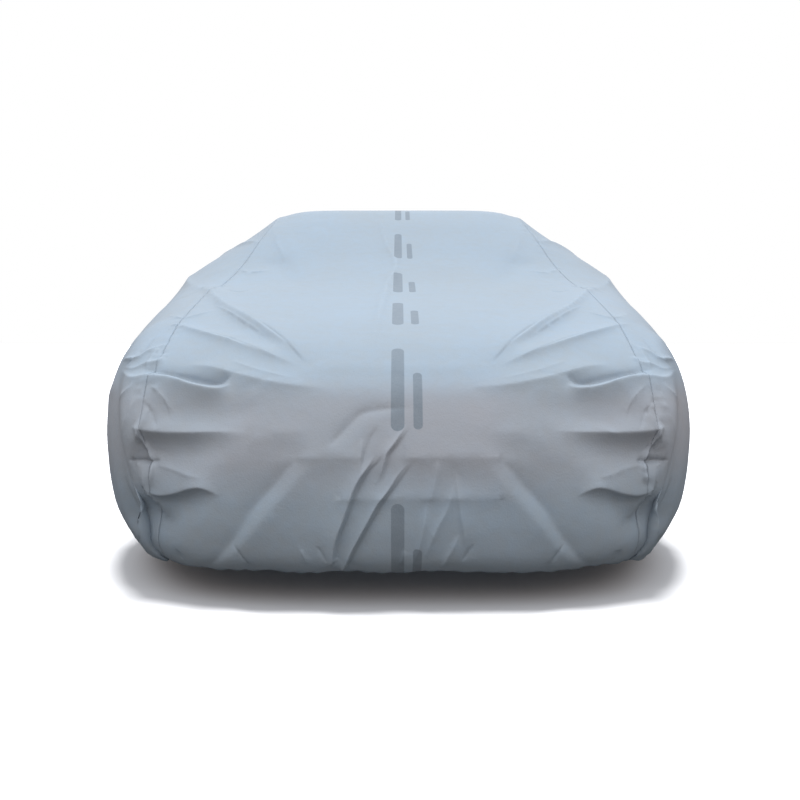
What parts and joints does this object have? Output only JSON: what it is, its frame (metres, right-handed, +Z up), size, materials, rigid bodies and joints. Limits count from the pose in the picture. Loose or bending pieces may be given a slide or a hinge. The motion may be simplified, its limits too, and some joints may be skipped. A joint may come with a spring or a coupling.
{
  "type": "fitted car cover",
  "caption": "Fitted full cover for a small hatchback, draped in the car's shape, with a long centre panel, a panel on each side and an elastic hem tucked under.",
  "frame": {"origin": "underside of the cloth where the middle of the car's roof bears against it", "axes": "+X to the right in the picture, +Y from the nose to the tail, +Z up"},
  "size_m": [1.9485, 4.0095, 1.2518],
  "materials": {
    "cover_cloth": "matt grey-blue membrane cloth"
  },
  "bodies": {
    "root": {"centre_panel": "cover_cloth", "side_panel_left": "cover_cloth", "side_panel_right": "cover_cloth"}
  },
  "joints": []
}
